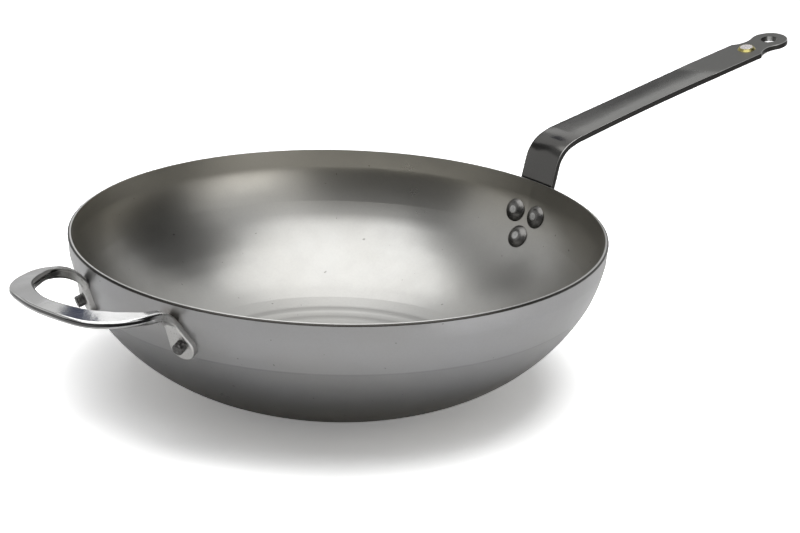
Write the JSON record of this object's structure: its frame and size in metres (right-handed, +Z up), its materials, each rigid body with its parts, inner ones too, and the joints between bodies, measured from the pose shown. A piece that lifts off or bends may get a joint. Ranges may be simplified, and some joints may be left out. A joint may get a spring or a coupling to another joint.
{
  "type": "carbon_steel_wok",
  "caption": "Round flat-based carbon steel wok with a long riveted strap handle, a cast loop helper handle and a small brass medallion.",
  "frame": {"origin": "centre of the underside of the flat base", "axes": "+Z up out of the bowl, +X along the long strap handle, +Y to the left of it"},
  "size_m": [0.6042, 0.3198, 0.1564],
  "materials": {
    "bowl_steel": "satin bare carbon steel with faint turned grain, darker brown-grey towards the base",
    "strap_steel": "dark clear-lacquered steel with a satin sheen and bright worn edges",
    "cast_steel": "polished cast stainless steel with satin feet",
    "rivet_steel": "plain steel, forged heads and hammered tails",
    "brass": "olive-gold polished brass",
    "disc_metal": "bright white metal"
  },
  "bodies": {
    "root": {"bowl": "bowl_steel", "long_handle": "strap_steel", "handle_rivet_left": "rivet_steel", "handle_rivet_right": "rivet_steel", "handle_rivet_lower": "rivet_steel", "helper_handle": "cast_steel", "helper_rivet_front": "rivet_steel", "helper_rivet_back": "rivet_steel", "medallion_stud": "brass", "medallion_disc": "disc_metal"}
  },
  "joints": []
}
